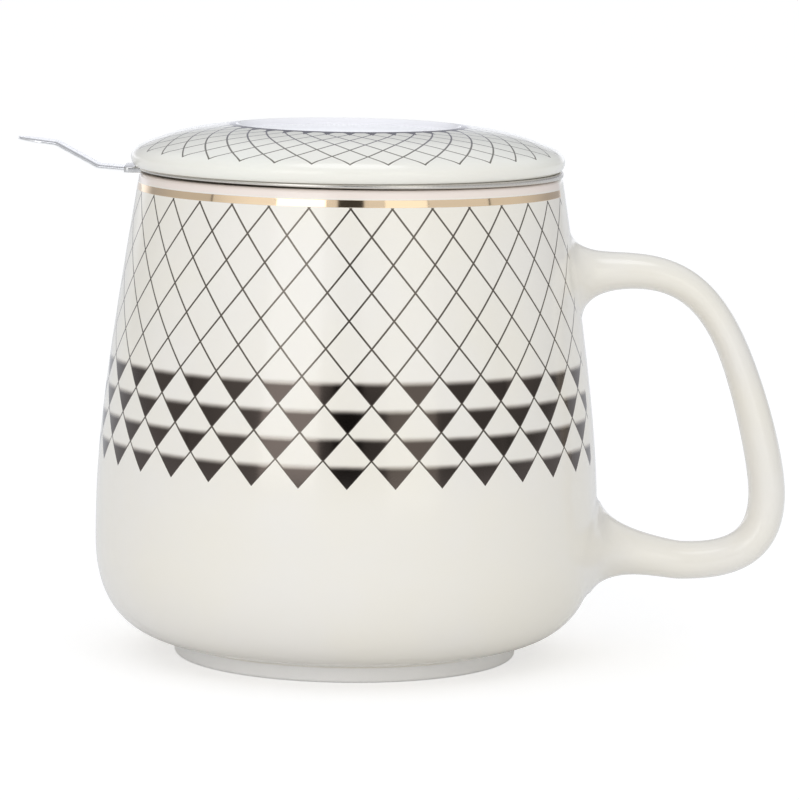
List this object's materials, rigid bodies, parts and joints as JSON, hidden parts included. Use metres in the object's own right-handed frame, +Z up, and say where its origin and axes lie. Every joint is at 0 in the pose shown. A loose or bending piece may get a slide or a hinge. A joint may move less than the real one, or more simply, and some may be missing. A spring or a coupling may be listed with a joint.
{
  "type": "lidded tea mug with infuser",
  "caption": "Lidded tea mug with a lift-out mesh infuser: pear-shaped porcelain body with a loop handle, low domed lid, steel basket with a bent strip handle.",
  "frame": {"origin": "on the mug's axis, on the plane that its foot ring stands on", "axes": "+Z up along the mug's axis, +X along the mug's handle, -X along the infuser's strip handle"},
  "size_m": [0.1513, 0.0986, 0.1042],
  "materials": {
    "mug_glaze": "glossy, with a fine diamond lattice and a gilt band",
    "lid_glaze": "glossy, with a fine diamond lattice",
    "rim_steel": "brushed",
    "woven_steel": "fine woven mesh",
    "strip_steel": "bright"
  },
  "bodies": {
    "mug": {"mug_body": "mug_glaze", "mug_handle": "mug_glaze"},
    "infuser": {"infuser_rim": "rim_steel", "infuser_wall_mesh": "woven_steel", "infuser_base_mesh": "woven_steel", "infuser_base_ring": "rim_steel", "infuser_handle": "strip_steel"},
    "lid": {"lid": "lid_glaze"}
  },
  "joints": [
    {"name": "infuser_lift", "type": "slide", "parent": "mug", "child": "infuser", "axis": [0, 0, 1], "range_m": [0, 0.1]},
    {"name": "lid_lift", "type": "slide", "parent": "infuser", "child": "lid", "axis": [0, 0, 1], "range_m": [0, 0.06]}
  ]
}
